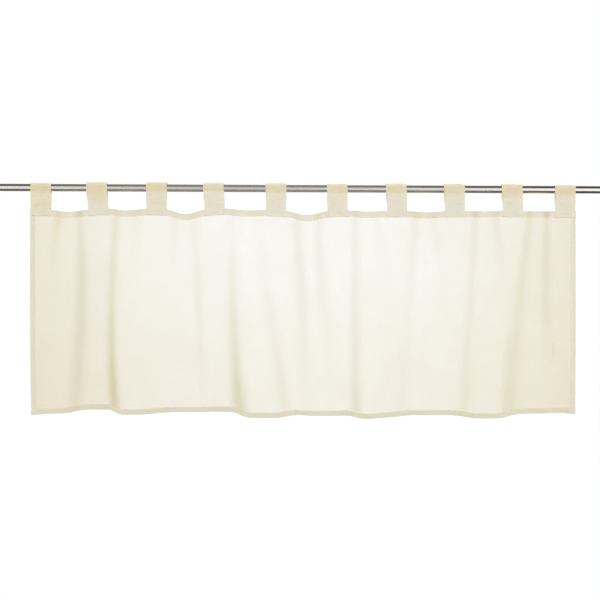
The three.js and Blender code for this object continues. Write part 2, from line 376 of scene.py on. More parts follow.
class HungCloth:
    """The curtain's hung mid-surface as a function of two places on the cloth.

    across is the place along the rod and fall the distance down the cloth from its top edge.
    """

    def __init__(self, sizes):
        self.sizes = sizes
        self.edge = sizes.panel_width / 2
        self.body_top = sizes.heading_depth + HEM_STEP
        self.body_end = self.body_top + BODY_LENGTH
        self.length = self.body_end + sizes.hem_depth + HEM_STEP

    def down(self, fall):
        """Share of the way down the panel's body, held at 0 in the heading and at 1 in the hem."""
        return np.clip((fall - self.body_top) / BODY_LENGTH, 0, 1)

    def forward(self, across, down):
        """Left edge's stand-off plus, for each fold, its step across its line."""
        place, share = np.broadcast_arrays(across, down)
        place, share = place[..., None], share[..., None]
        line = through(FOLDS["top"], FOLDS["middle"], FOLDS["hem"], share)
        width = FOLDS["narrow"] + (FOLDS["wide"] - FOLDS["narrow"]) * share
        step = through(FOLDS["step_top"], FOLDS["step_middle"], FOLDS["step_hem"], share)
        steps = (step * fold_step((place - line) / width + 0.5)).sum(-1)
        return through(*LEFT_EDGE, share[..., 0]) + steps

    def slope(self, across, down):
        """Change of the stand-off for each unit across, over 2 mm."""
        return (self.forward(across + MM, down) - self.forward(across - MM, down)) / (2 * MM)

    def top_level(self, across):
        """Straight from edge to edge of each tab, and lower by sag * sin^1.5 between two tabs."""
        half = self.sizes.tab_width / 2
        knots = np.stack([TABS["centre"] - half, TABS["centre"] + half], 1)
        level = -np.interp(across, knots.ravel(), np.stack([TABS["left"], TABS["right"]], 1).ravel())
        start, end = knots[:-1, 1], knots[1:, 0]
        share = np.clip((np.asarray(across)[..., None] - start) / (end - start), 0, 1)
        return level - (TABS["sag"][:-1] * np.sin(np.pi * share) ** SAG_POWER).sum(-1)

    def hem_level(self, across):
        """A line that rises to the right, lower where the cloth stands forward."""
        rise = HEM_RISE * across / self.sizes.panel_width
        return -HEM_LEVEL + rise - HEM_DIP * self.forward(across, 1.0)

    def pucker(self, across, fall):
        """Small waves along heading, hem and sides, less by exp(-(distance / fade)^2) away from them."""
        sizes = self.sizes
        from_heading = fall - sizes.heading_depth
        from_hem = fall - self.length + sizes.hem_depth
        from_side = self.edge - sizes.hem_depth - np.abs(across)
        lines = ((from_heading, across), (from_hem, across), (from_side, fall))
        waves = 0
        for seed, ((away, place), (height, fade, pitches)) in enumerate(zip(lines, PUCKERS), 1):
            waves = waves + height * np.exp(-(away / fade) ** 2) * wander(place, pitches, seed)
        return waves

    def crease(self, across, fall):
        """A ridge with a bell-shaped section, steeper on its left, which fades towards both ends."""
        below = fall - CREASE_FALL
        aside = across - CREASE_ACROSS - CREASE_LEAN * below
        fade = np.maximum(0, 1 - (below / CREASE_HALF_LENGTH) ** 2)
        width = np.where(aside < 0, CREASE_STEEP, CREASE_GENTLE)
        return CREASE_HEIGHT * fade * np.exp(-(aside / width) ** 2)

    def point(self, across, fall, back):
        """Mid-surface point moved back along the fold's normal.

        z runs from the top level to the hem level, y is minus the stand-off, and x drifts sideways
        on the way down, by a share between the two edges' drifts.
        """
        across, fall, back = np.broadcast_arrays(
            np.asarray(across, float), np.asarray(fall, float), np.asarray(back, float))
        sizes = self.sizes
        down = self.down(fall)
        upper = self.top_level(across) - np.minimum(fall, self.body_top)
        above = sizes.hem_depth + HEM_STEP - np.maximum(fall - self.body_end, 0)
        lower = self.hem_level(across) + above
        share = across / sizes.panel_width + 0.5
        drift = (1 - share) * through(*LEFT_DRIFT, down) + share * through(*RIGHT_DRIFT, down)
        stand = self.forward(across, down) + self.pucker(across, fall) + self.crease(across, fall)
        slope = self.slope(across, down)
        length = np.hypot(slope, 1)
        return np.stack([
            across + drift + back * slope / length,
            -stand + back / length,
            upper + (lower - upper) * down,
        ], -1)


def turned_edge(depth, pitch):
    """Stations across an edge that is turned twice, from the raw edge to the face.

    Gives how far each one lies in from the fold, and its shares of the face, middle and back layers.
    """
    near, far = BEND_REACH * pitch, depth - BEND_REACH * pitch
    middle = np.linspace(RAW_EDGE * depth, far, LAYER_STATIONS)
    back = np.linspace(far, near, LAYER_STATIONS)
    face = np.linspace(near, depth, LAYER_STATIONS + 1)
    inward = np.concatenate([middle, [depth], back, [-0.5 * pitch], face])
    shares = np.concatenate([
        np.tile([0, 1, 0], (len(middle), 1)), [[0, 0.5, 0.5]],
        np.tile([0, 0, 1], (len(back), 1)), [[0.5, 0, 0.5]],
        np.tile([1, 0, 0], (len(face), 1)),
    ])
    return inward, shares


def hemmed_span(start, start_depth, end, end_depth, count, pitch):
    """Stations from one twice-turned edge to the other, with even steps between, and their layers."""
    first, first_shares = turned_edge(start_depth, pitch)
    last, last_shares = turned_edge(end_depth, pitch)
    inner = np.linspace(start + start_depth + pitch, end - end_depth - pitch, count)
    places = np.concatenate([start + first, inner, end - last[::-1]])
    shares = np.concatenate([first_shares, np.tile([1, 0, 0], (count, 1)), last_shares[::-1]])
    return places, shares


def panel_sheet(hung):
    """Grid of the panel's cut cloth: across by fall, with both ways' turned edges stacked.

    The layers of the side hems lie a pitch apart; at the corners the whole stack of a side hem is
    turned again with the heading or the bottom hem. Each turned edge and the corners have a tone.
    The tones paint light: the right hem and the corners are lighter and the left hem darker. The tone
    is less by a share of the slope squared where a fold crosses the heading or the hem, as painted
    shade.
    """
    sizes, pitch = hung.sizes, hung.sizes.layer_pitch
    across, sides = hemmed_span(
        -hung.edge, sizes.hem_depth, hung.edge, sizes.hem_depth, sizes.panel_columns, pitch)
    fall, ends = hemmed_span(
        0, sizes.heading_depth, hung.length, sizes.hem_depth, sizes.panel_rows, pitch)
    layer = pitch * (sides @ [0, 1, 2])
    inside = hung.edge - np.abs(across) - sizes.hem_depth
    stack = 2 * pitch * (1 - ease(inside / STACK_FADE))
    depths = np.stack([layer, stack + pitch + layer, 3 * stack + 2 * pitch - layer])
    back = -FACE_AHEAD + ends @ depths
    side = (inside < 0.5 * pitch)[None, :]
    heading = (fall < sizes.heading_depth + 0.5 * pitch)[:, None]
    hem = (fall > hung.length - sizes.hem_depth - 0.5 * pitch)[:, None]
    # Painted light and shade: the left hem a little darker, the right one and the corners lighter.
    beside = np.where(across < 0, LEFT_TONE, RIGHT_TONE)[None, :]
    # Painted shade where folds cross the heading and the hem: their tone falls with the slope squared.
    tone = np.select(
        [side & (heading | hem), side, heading, hem],
        [CORNER_TONE, beside, HEADING_TONE - HEADING_PAINTED_SHADE * hung.slope(across, 0.0) ** 2,
         HEM_TONE - HEM_PAINTED_SHADE * hung.slope(across, 1.0) ** 2])
    return hung.point(across[None, :], fall[:, None], back), tone


# Shape of the tabs

class TabLoop:
    """One tab's strip: its path up from the heading's front, over the rod and down behind it.

    The path is a tangent leg, an arc that stands up off the rod by the tab's rise, and a second
    leg, with the corners rounded by a moving average.
    """

    def __init__(self, sizes, order):
        self.sizes, self.order = sizes, order
        self.row = {name: column[order] for name, column in TABS.items()}
        self.drop = (self.row["left"] + self.row["right"]) / 2
        loop = sizes.rod_diameter / 2 + LOOP_CLEARANCE
        front, back = FRONT_LEG, BACK_LEG
        meet, end = LEG_RISE - self.drop, -self.drop - sizes.heading_depth
        start_turn = math.atan2(meet, front) - math.acos(loop / math.hypot(front, meet))
        end_turn = math.atan2(meet, back) + math.acos(loop / math.hypot(back, meet)) - 2 * math.pi
        turn = np.linspace(start_turn, end_turn, ARC_STATIONS)
        radius = loop + self.row["rise"] * np.clip(np.sin(turn), 0, 1) ** 2
        arc = np.stack([radius * np.cos(turn), radius * np.sin(turn)], 1)
        corners = np.concatenate([[(front, end), (front, meet)], arc, [(back, meet), (back, end)]])
        reach = np.concatenate([[0], np.cumsum(np.hypot(*np.diff(corners, axis=0).T))])
        self.length = reach[-1]
        self.along = np.linspace(0, self.length, PATH_STATIONS)
        even = np.stack([np.interp(self.along, reach, corners[:, axis]) for axis in (0, 1)], 1)
        margin = ROUNDING_WINDOW // 2
        padded = np.pad(even, ((margin, margin), (0, 0)), mode="edge")
        kernel = np.ones(ROUNDING_WINDOW) / ROUNDING_WINDOW
        self.path = np.stack([np.convolve(padded[:, axis], kernel, "valid") for axis in (0, 1)], 1)
        near_end = np.minimum(self.along, self.length - self.along) < SQUARE_END
        self.path[:, 1] = np.where(near_end, even[:, 1], self.path[:, 1])
        tangent = np.gradient(self.path, axis=0)
        tangent /= np.linalg.norm(tangent, axis=1, keepdims=True)
        self.outward = np.stack([-tangent[:, 1], tangent[:, 0]], 1)

    def point(self, side, along, out):
        """Path point at a distance along the strip, out along its normal.

        The strip is sheared, so that its top leans sideways and its sewn ends slant with the panel.
        """
        side, along, out = np.broadcast_arrays(
            np.asarray(side, float), np.asarray(along, float), np.asarray(out, float))
        grown = ease((along - HELD_END) / FREE_GROWTH)
        free = grown * ease((self.length - HELD_END - along) / FREE_GROWTH)
        middle = np.cos(np.pi * np.clip(side / self.sizes.tab_width, -0.5, 0.5)) ** 2
        rumple = wander(along + RUMPLE_SLANT * side, RUMPLE_PITCHES, RUMPLE_SEED + self.order)
        out = out + RUMPLE_HEIGHT * free * middle * rumple
        y, z, out_y, out_z = (
            np.interp(along, self.along, column)
            for column in (*self.path.T, *self.outward.T))
        height = np.maximum(0, z + self.drop) / self.drop
        slant = (self.row["left"] - self.row["right"]) * side / self.sizes.tab_width
        sway = wander(along + SWAY_SHIFT * np.sign(side), SWAY_PITCHES, SWAY_SEED + self.order)
        return np.stack([
            self.row["centre"] + side + self.row["lean"] * height + SWAY_WIDTH * free * sway,
            y + out * out_y,
            z + out * out_z + slant * np.maximum(0, 1 - height),
        ], -1)


def tab_sheet(loop):
    """Grid of a tab's cut strip: its two long edges are turned in and meet behind the face.

    The tone is 1 more where the strip bears on the rod, as painted shade where the rod keeps light from
    shining through, and eases off below it.
    """
    half, pitch = loop.sizes.tab_width / 2, loop.sizes.layer_pitch
    turned = np.linspace(RAW_GAP, half - pitch, TURNED_STATIONS)
    face = np.linspace(-half + pitch, half - pitch, FACE_STATIONS)
    side = np.concatenate([-turned, [-half], face, [half], turned[::-1]])
    behind = np.ones_like(turned)
    out = -pitch * np.concatenate([behind, [0.5], np.zeros_like(face), [0.5], behind])
    along = np.linspace(0, loop.length, STRIP_STATIONS)
    points = loop.point(side[None, :], along[:, None], out[None, :])
    # Painted shade of the rod behind the strip, fading below the rod's lowest line.
    above = points[..., 2] + loop.sizes.rod_diameter / 2 - ROD_SHADE_EDGE
    rod_shade = ease(1 + above / ROD_SHADE_FADES[loop.order])
    return points, TAB_SHADES[loop.order] + rod_shade


# Stitching

def sewn_rows(path, outward, thread):
    """Small arched tubes, one for each row of path points: six-sided rings carried along the row.

    The rings shrink and dip into the cloth at both ends, and two quads close each end.
    """
    tangent = np.gradient(path, axis=1)
    tangent /= np.linalg.norm(tangent, axis=-1, keepdims=True)
    sideways = np.cross(tangent, outward)
    count, stations = path.shape[:2]
    share = np.linspace(0, 1, stations)
    rise = thread * np.interp(share, STITCH_SHARES, STITCH_RISE)
    radius = thread / 2 * np.interp(share, STITCH_SHARES, STITCH_GIRTH)
    angle = np.arange(THREAD_SIDES) * 2 * np.pi / THREAD_SIDES
    ring = (outward[:, :, None] * np.cos(angle)[:, None] + sideways[:, :, None] * np.sin(angle)[:, None])
    points = (path + outward * rise[:, None])[:, :, None] + ring * radius[:, None, None]
    index = np.arange(count * stations * THREAD_SIDES).reshape(count, stations, THREAD_SIDES)
    turned = np.roll(index, -1, axis=2)
    tubes = np.stack([index[:, :-1], turned[:, :-1], turned[:, 1:], index[:, 1:]], -1).reshape(-1, 4)
    first, last = index[:, 0], index[:, -1]
    caps = np.concatenate([
        first[:, [3, 2, 1, 0]], first[:, [5, 4, 3, 0]], last[:, [0, 1, 2, 3]], last[:, [0, 3, 4, 5]]])
    return points.reshape(-1, 3), np.concatenate([tubes, caps])


def stitch_places(start, end, sizes):
    """Places of the stations of the stitches from start to end: one row for each stitch."""
    count = max(1, int((end - start) / sizes.stitch_pitch))
    centre = start + (np.arange(count) + 0.5) * (end - start) / count
    return centre[:, None] + np.linspace(-0.5, 0.5, STITCH_STATIONS) * sizes.stitch_length


def sewn_line(surface, first, second, depth, facing, thread):
    """Stitches on a surface function of two places: facing is 1 outwards and -1 inwards of depth."""
    first, second = np.broadcast_arrays(first, second)
    path = surface(first, second, depth)
    outward = facing * (surface(first, second, depth + MM) - path)
    outward /= np.linalg.norm(outward, axis=-1, keepdims=True)
    return sewn_rows(path, outward, thread)


def joined(parts):
    """Several lists of points and faces as one."""
    shifts = np.cumsum([0] + [len(points) for points, _ in parts[:-1]])
    points = np.concatenate([points for points, _ in parts])
    faces = np.concatenate([faces + shift for shift, (_, faces) in zip(shifts, parts)])
    return points, faces


def hem_faces(sizes):
    """How far behind the folds' mid-surface a hem's front and back faces lie."""
    half_cloth = sizes.cloth_thickness / 2
    return -FACE_AHEAD - half_cloth, -FACE_AHEAD + 2 * sizes.layer_pitch + half_cloth


def heading_stitches(hung):
    """Two lines along the heading between the tabs, with threads on both faces."""
    sizes, thread = hung.sizes, hung.sizes.thread_diameter
    front, behind = hem_faces(sizes)
    across = stitch_places(-hung.edge + LINE_END, hung.edge - LINE_END, sizes)
    gap = np.abs(across[:, :1] - TABS["centre"]).min(1) > sizes.tab_width / 2
    side = np.abs(across[:, 0]) < hung.edge - sizes.hem_depth
    parts = []
    for fall in (TOP_LINE, sizes.heading_depth - HEM_LINE):
        parts.append(sewn_line(hung.point, across[gap], fall, front, -1, thread))
        parts.append(sewn_line(hung.point, across[gap & side], fall, behind, 1, thread))
    return joined(parts)


def hem_stitches(hung):
    """One line along the bottom hem and one down each side hem, with threads on both faces."""
    sizes, thread = hung.sizes, hung.sizes.thread_diameter
    front, behind = hem_faces(sizes)
    inset = sizes.hem_depth - HEM_LINE
    across = stitch_places(-hung.edge + LINE_END, hung.edge - LINE_END, sizes)
    inner = np.abs(across[:, 0]) < hung.edge - sizes.hem_depth
    low = hung.length - inset
    parts = [
        sewn_line(hung.point, across, low, front, -1, thread),
        sewn_line(hung.point, across[inner], low, behind, 1, thread),
    ]
    fall = stitch_places(sizes.heading_depth, hung.length - sizes.hem_depth, sizes)
    for side in (-1, 1):
        place = np.full_like(fall, side * (hung.edge - inset))
        parts.append(sewn_line(hung.point, place, fall, front, -1, thread))
        parts.append(sewn_line(hung.point, place, fall, behind, 1, thread))
    return joined(parts)


def tab_stitches(loops):
    """Two lines of topstitching round each loop, and two across each of its sewn ends."""
    parts = []
    for loop in loops:
        sizes = loop.sizes
        thread, half = sizes.thread_diameter, sizes.tab_width / 2
        surface = sizes.cloth_thickness / 2
        along = stitch_places(LINE_END, loop.length - LINE_END, sizes)
        for side in (-1, 1):
            place = np.full_like(along, side * (half - sizes.tab_topstitch))
            parts.append(sewn_line(loop.point, place, along, surface, 1, thread))
        across = stitch_places(-half + LINE_END, half - LINE_END, sizes)
        for up in TAB_END_LINES:
            parts.append(sewn_line(loop.point, across, up, surface, 1, thread))
            parts.append(sewn_line(loop.point, across, loop.length - up, surface, 1, thread))
    return joined(parts)


# Rod

def rod_surface(sizes):
    """A profile of radius against place, with chamfered ends, carried round the rod's axis."""
    half, radius, chamfer = sizes.rod_length / 2, sizes.rod_diameter / 2, sizes.rod_chamfer
    ends = [(half, CAP_CENTRE * radius), (half, CAP_RING * radius), (half, radius - chamfer),
            (half - 0.5 * chamfer, radius - CHAMFER_DROP * chamfer), (half - chamfer, radius),
            (half - FULL_RING * chamfer, radius)]
    left = np.array(ends) * (-1, 1)
    inner = np.linspace(left[-1, 0], -left[-1, 0], ROD_STATIONS)[1:-1]
    between = np.stack([inner, np.full_like(inner, radius)], 1)
    profile = np.concatenate([left, between, np.array(ends)[::-1]])
    angle = np.arange(sizes.rod_sides) * 2 * np.pi / sizes.rod_sides
    x = np.repeat(profile[:, :1], len(angle), 1)
    return np.stack([x, profile[:, 1:] * np.cos(angle), profile[:, 1:] * np.sin(angle)], -1)


# Meshes

def grid_faces(rows, columns, closed=False):
    """Quads between neighbouring points of a grid, and across its seam if it closes on itself."""
    index = np.arange(rows * columns).reshape(rows, columns)
    if closed:
        index = np.concatenate([index, index[:, :1]], 1)
    return np.stack([index[:-1, :-1], index[1:, :-1], index[1:, 1:], index[:-1, 1:]], -1).reshape(-1, 4)


def cloth_places(points):
    """Places on the flat cloth: distances along the grid's rows and columns, centred across."""
    across = np.linalg.norm(np.diff(points, axis=1), axis=-1).cumsum(1)
    across = np.pad(across, ((0, 0), (1, 0)))
    along = np.linalg.norm(np.diff(points, axis=0), axis=-1).cumsum(0)
    along = np.pad(along, ((1, 0), (0, 0)))
    return np.stack([across - across[:, -1:] / 2, along[-1:] - along], -1)


def mesh_from(name, points, faces, places=None, tone=None):
    """A smooth mesh from arrays of points and four-cornered faces, with cloth places and tones."""
    mesh = bpy.data.meshes.new(name)
    mesh.vertices.add(len(points))
    mesh.vertices.foreach_set("co", np.ascontiguousarray(points, np.float32).ravel())
    mesh.loops.add(faces.size)
    mesh.loops.foreach_set("vertex_index", np.ascontiguousarray(faces, np.int32).ravel())
    mesh.polygons.add(len(faces))
    mesh.polygons.foreach_set("loop_start", np.arange(0, faces.size, 4, dtype=np.int32))
    mesh.polygons.foreach_set("use_smooth", np.ones(len(faces), bool))
    if places is not None:
        layer = mesh.uv_layers.new(name=CUT_CLOTH)
        layer.data.foreach_set("uv", np.ascontiguousarray(places[faces.ravel()], np.float32).ravel())
    if tone is not None:
        layer = mesh.attributes.new(TONE, "FLOAT", "POINT")
        layer.data.foreach_set("value", np.ascontiguousarray(tone, np.float32).ravel())
    mesh.update(calc_edges=True)
    if mesh.validate():
        raise RuntimeError(f"{name}: the mesh had faults")
    return mesh


def add_piece(name, mesh, finish, slot, *nodes):
    """A finished piece in the frame: it rides on the one body and stands for the named solids."""
    piece = bpy.data.objects.new(name, mesh)
    bpy.context.scene.collection.objects.link(piece)
    mesh.materials.append(finish)
    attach(piece, "root")
    if nodes:
        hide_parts(*nodes)
    return piece


def add_sheet(name, points, tone, thickness, finish, slot, node):
    """A sheet of cloth on a grid of points and their tones, given its thickness both ways."""
    faces = grid_faces(*points.shape[:2])
    places = cloth_places(points).reshape(-1, 2)
    mesh = mesh_from(name, points.reshape(-1, 3), faces, places, tone)
    piece = add_piece(name, mesh, finish, slot, node)
    solid = piece.modifiers.new("cloth_thickness", "SOLIDIFY")
    solid.thickness = thickness
    solid.offset = 0
    return piece


# Finishes

# Slubs of the voile: the scales of their noise across and along the cloth, the values of it at which
# they start and are full, and how strong the ones along the warp are.
WEFT_SLUBS = (9, 1100, 1)
WEFT_SHOWS = (0.60, 0.78)
WARP_SLUBS = (1100, 7, 1)
WARP_SHOWS = (0.62, 0.80)
WARP_SHARE = 0.6

# How much the voile's cover changes with its patches, slubs and threads, and the least cosine for
# which its sheerness is worked out.
PATCH_COVER = 0.06
SLUB_COVER = 0.04
THREAD_COVER = 0.025
LEAST_COSINE = 0.14

# Tint of the voile's densest places, how much of it all the cloth and its slubs have, and the height
# of a slub in threads.
DENSE_TINT = (0.94, 0.92, 0.87)
EVEN_TINT = 0.25
SLUB_TINT = 0.45
SLUB_HEIGHT = 1.2

# Width and height of the lighter and darker patches of the panel and of a tab, and how strong they are.
PANEL_PATCH = (140 * MM, 110 * MM)
PANEL_UNEVEN = 0.5
TAB_PATCH = (18 * MM, 7 * MM)
TAB_UNEVEN = 4

# Scales of the noise along X, Y and Z in the thread, the steel and the floor, the share of its own
# colour that the darkest places of each keep, and the brushing's share in the steel's dull places.
THREAD_PATCHES = (220, 220, 220)
THREAD_TWIST = (4000, 4000, 4000)
DARK_THREAD = 0.86
STEEL_BRUSHING = (5, 1800, 1800)
STEEL_CLOUDS = (6, 60, 60)
DULL_STEEL = 0.9
BRUSHED_SHARE = 0.6
FLOOR_CLOUDS = (3, 3, 3)
DULL_FLOOR = 0.96


class Link:
    """A socket's value in a formula: each sign that is used on it adds one Math node."""

    def __init__(self, finish, socket):
        self.finish, self.socket = finish, socket

    def other(self, output):
        """Another output of the same node."""
        return Link(self.finish, self.socket.node.outputs[output])

    def maths(self, operation, *values):
        return self.finish.node("ShaderNodeMath", {"operation": operation}, dict(enumerate(values)))

    def __add__(self, value):
        return self.maths("ADD", self, value)

    def __radd__(self, value):
        return self.maths("ADD", value, self)

    def __sub__(self, value):
        return self.maths("SUBTRACT", self, value)

    def __rsub__(self, value):
        return self.maths("SUBTRACT", value, self)

    def __mul__(self, value):
        return self.maths("MULTIPLY", self, value)

    def __rmul__(self, value):
        return self.maths("MULTIPLY", value, self)

    def __truediv__(self, value):
        return self.maths("DIVIDE", self, value)

    def __rtruediv__(self, value):
        return self.maths("DIVIDE", value, self)

    def __pow__(self, value):
        return self.maths("POWER", self, value)

    def __rpow__(self, value):
        return self.maths("POWER", value, self)

    def __abs__(self):
        return self.maths("ABSOLUTE", self)

    def sine(self):
        return self.maths("SINE", self)

    def at_most(self, value):
        return self.maths("MINIMUM", self, value)

    def at_least(self, value):
        return self.maths("MAXIMUM", self, value)

    def eased(self, start, end):
        """0 at start and 1 at end, with a smooth step between."""
        return self.finish.node(
            "ShaderNodeMapRange", {"interpolation_type": "SMOOTHSTEP"},
            {"Value": self, "From Min": start, "From Max": end})


class Finish:
    """The nodes of one material or of the world, made through node() and Link formulas."""

    def __init__(self, tree):
        self.tree = tree
        tree.nodes.clear()

    @classmethod
    def material(cls, name):
        made = bpy.data.materials.new(name)
        made.use_nodes = True
        finish = cls(made.node_tree)
        finish.owner = made
        return finish

    def node(self, kind, settings=None, sockets=None, output=0):
        """A node with its settings, then the values or links of its sockets; gives one output."""
        made = self.tree.nodes.new(kind)
        for name, value in (settings or {}).items():
            setattr(made, name, value)
        for key, value in (sockets or {}).items():
            if isinstance(value, Link):
                self.tree.links.new(value.socket, made.inputs[key])
            else:
                made.inputs[key].default_value = value
        return Link(self, made.outputs[output] if made.outputs else None)

    def blend(self, share, first, second, kind="MIX"):
        """Colour between two colours, or their product, by a share from 0 to 1."""
        def colour(value):
            return value if isinstance(value, Link) else (*value, 1)
        return self.node(
            "ShaderNodeMix", {"data_type": "RGBA", "blend_type": kind},
            {0: share, 6: colour(first), 7: colour(second)}, output=2)

    def noise(self, vector, scale, detail=2, roughness=0.5):
        """Noise on a vector that is scaled separately along each axis, from 0 to 1."""
        spread = self.node(
            "ShaderNodeMapping", {"vector_type": "POINT"}, {"Vector": vector, "Scale": scale})
        return self.node(
            "ShaderNodeTexNoise", {"noise_dimensions": "3D"},
            {"Vector": spread, "Scale": 1.0, "Detail": detail, "Roughness": roughness})

    def surface(self, sockets):
        """The Principled surface and the material output."""
        shader = self.node("ShaderNodeBsdfPrincipled", None, sockets)
        self.node("ShaderNodeOutputMaterial", None, {"Surface": shader})
        return self.owner


def dimmed(colour, share):
    """A colour times a share."""
    return tuple(share * part for part in colour)


def voile_finish(name, sizes, shades, covers, patch, uneven):
    """Sheer plain-weave cloth in shades by its tone, some of which paint light and shade on it; the
    cloth hides more where it turns away.

    Patches of about the given width and height are a little lighter or darker, by the uneven share.
    One layer hides a cover of what is behind it when seen square on, from the first cover at tone 0
    to the second at tone 1. Its thickness has two faces, so each one's alpha is
    1 - (1 - cover)^(0.5 / cosine of the angle to the face).
    """
    finish = Finish.material(name)
    cut = finish.node("ShaderNodeUVMap", {"uv_map": CUT_CLOTH})
    across = finish.node("ShaderNodeSeparateXYZ", None, {"Vector": cut})
    along = across.other("Y")
    turn = 2 * math.pi / sizes.weave_pitch
    weave = (across * turn).sine() * (along * turn).sine()
    weft_slub = finish.noise(cut, WEFT_SLUBS, 1).eased(*WEFT_SHOWS)
    warp_slub = finish.noise(cut, WARP_SLUBS, 1).eased(*WARP_SHOWS)
    slub = weft_slub + WARP_SHARE * warp_slub
    cloud = finish.noise(cut, (1 / patch[0], 1 / patch[1], 1), 3)
    tone = finish.node("ShaderNodeAttribute", {"attribute_name": TONE}, None, "Fac")
    cover = covers[0] + (covers[1] - covers[0]) * tone.at_most(1)
    hide = cover + PATCH_COVER * (cloud - 0.5) + SLUB_COVER * slub + THREAD_COVER * weave
    facing = finish.node("ShaderNodeLayerWeight", None, {"Blend": 0.5}, output="Facing")
    cosine = (1 - facing).at_least(LEAST_COSINE)
    alpha = 1 - (1 - hide) ** (0.5 / cosine)
    cream = tuple(shades[0])
    for order, shade in enumerate(shades[1:]):
        cream = finish.blend(tone - order, cream, tuple(shade))
    dark = SLUB_TINT * slub + EVEN_TINT + uneven * (cloud - 0.5)
    dense = finish.blend(dark, (1, 1, 1), DENSE_TINT)
    cream = finish.blend(1.0, cream, dense, "MULTIPLY")
    height = weave + SLUB_HEIGHT * slub
    relief = finish.node(
        "ShaderNodeBump", None, {"Strength": 0.18, "Distance": 0.12 * MM, "Height": height})
    return finish.surface({
        "Base Color": cream, "Roughness": 0.86 - 0.10 * cloud, "Alpha": alpha, "Normal": relief,
        "Specular IOR Level": 0.15, "Sheen Weight": 0.12, "Sheen Roughness": 0.55})


def thread_finish(colours):
    """Matt twisted sewing thread, darker in places."""
    finish = Finish.material("sewing_thread")
    place = finish.node("ShaderNodeTexCoord", None, None, "Object")
    patch = finish.noise(place, THREAD_PATCHES, 2)
    twist = finish.noise(place, THREAD_TWIST, 1)
    thread = finish.blend(patch, tuple(colours.thread), dimmed(colours.thread, DARK_THREAD))
    relief = finish.node(
        "ShaderNodeBump", None, {"Strength": 0.25, "Distance": 0.05 * MM, "Height": twist})
    return finish.surface({
        "Base Color": thread, "Roughness": 0.72 + 0.12 * twist, "Normal": relief,
        "Specular IOR Level": 0.25})


def steel_finish(colours):
    """Brushed steel: fine lines along the rod and faint clouding."""
    finish = Finish.material("brushed_steel")
    place = finish.node("ShaderNodeTexCoord", None, None, "Object")
    brush = finish.noise(place, STEEL_BRUSHING, 3, 0.6)
    cloud = finish.noise(place, STEEL_CLOUDS, 2)
    dull = BRUSHED_SHARE * brush + (1 - BRUSHED_SHARE) * cloud
    steel = finish.blend(dull, tuple(colours.steel), dimmed(colours.steel, DULL_STEEL))
    relief = finish.node(
        "ShaderNodeBump", None, {"Strength": 0.12, "Distance": 0.04 * MM, "Height": brush})
    return finish.surface({
        "Base Color": steel, "Metallic": 1.0, "Roughness": 0.12 + 0.10 * brush + 0.05 * cloud,
        "Normal": relief})


def floor_finish(colours):
    """Pale matt floor with a faint cloud."""
    finish = Finish.material("pale_floor")
    place = finish.node("ShaderNodeTexCoord", None, None, "Object")
    cloud = finish.noise(place, FLOOR_CLOUDS, 2)
    pale = finish.blend(cloud, tuple(colours.floor), dimmed(colours.floor, DULL_FLOOR))
    return finish.surface({"Base Color": pale, "Roughness": 0.8})


# Stage

# Light of the room, of the bare backdrop and of the backdrop's glow behind the cloth.
ROOM_LIGHT = (1.0, 0.99, 0.967)
BACKDROP_LIGHT = (1.0, 1.0, 1.0)
GLOW_LIGHT = (1.335, 1.47, 1.765)

# The glow by the direction in which it lies: half its width, how far it leans for each unit up, the
# power by which it fades sideways, between which levels below the rod it starts and weakens, how much
# it loses by then, as a share and besides, and from how far round to the back it shows.
GLOW_HALF_WIDTH = 0.126
GLOW_LEAN = 0.07
GLOW_POWER = 2.4
GLOW_STARTS = (0.003, 0.010)
GLOW_WEAKENS = (0.02, 0.095)
GLOW_SHARE_LOST = 0.27
GLOW_LOST = 0.12
GLOW_BEHIND = (0.2, 0.6)

# What the rod's gloss shows, by its direction: the middle between its two bright sides, between which
# distances from there they start, where they end, between which levels up and down the pale band ends,
# and how much it fades behind the rod.
GLOSS_MIDDLE = -0.022
GLOSS_STARTS = (0.045, 0.125)
GLOSS_ENDS = (0.3, 0.7)
BAND_ENDS = (0.45, 0.75)
BAND_BEHIND = (0.0, 0.3)
BAND_LOST = 0.8

# Light of that band and of what is above and below it, in the middle and at the sides.
BAND_MIDDLE = (0.55, 0.54, 0.52)
BAND_SIDES = (1.63, 1.61, 1.54)
BEYOND_MIDDLE = (0.37, 0.363, 0.345)
BEYOND_SIDES = (0.05, 0.047, 0.043)

# The two softboxes: how far to the left and right, their distance in front and height, where they aim,
# their size and their power in watts.
SOFTBOX_ASIDE = 1.9
SOFTBOX_PLACE = (-2.6, 0.5)
SOFTBOX_AIM = (0, 0, -0.3)
SOFTBOX_SIZE = 1.6
SOFTBOX_WATTS = 14

FLOOR_LEVEL = -1.5
FLOOR_RADIUS = 1.2
FLOOR_STATIONS = 25

# The camera: its sensor and lens in millimetres, its shift, its place and its roll in radians.
SENSOR_WIDTH = 36
LENS = 139.54
LENS_SHIFT = -0.1856
CAMERA_PLACE = (-0.008, -6.0, 0)
CAMERA_ROLL = -0.0041

# How many faces of sheer cloth a ray of light may pass.
SHEER_BOUNCES = 40


